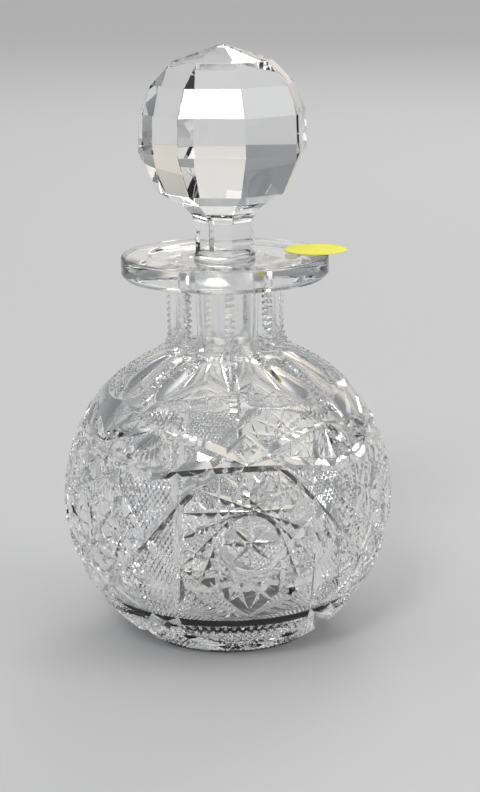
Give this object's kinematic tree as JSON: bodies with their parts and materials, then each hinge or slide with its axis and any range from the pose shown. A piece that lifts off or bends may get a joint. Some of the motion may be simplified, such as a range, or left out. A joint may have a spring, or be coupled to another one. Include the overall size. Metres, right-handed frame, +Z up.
{
  "type": "cut glass decanter",
  "caption": "Clear cut-glass globe decanter with a flat round lip, star-cut panels and a ground-in faceted ball stopper that lifts out.",
  "frame": {"origin": "centre of the flat base, on the surface that the decanter stands on", "axes": "+Z up the bottle's axis to the stopper, one cut panel faces -Y, the sticker lies on the lip toward +X"},
  "size_m": [0.1008, 0.1007, 0.1805],
  "materials": {
    "cut_glass": "polished clear lead crystal, wheel cut",
    "stopper_glass": "polished clear lead crystal with flat facets and a ground plug",
    "sticker_paper": "plain matt yellow coated paper"
  },
  "bodies": {
    "bottle_body": {"bottle": "cut_glass", "lot_sticker": "sticker_paper"},
    "stopper_body": {"stopper": "stopper_glass"}
  },
  "joints": [
    {"name": "stopper_lift", "type": "slide", "parent": "bottle_body", "child": "stopper_body", "axis": [0, 0, 1], "range_m": [0, 0.06]}
  ]
}
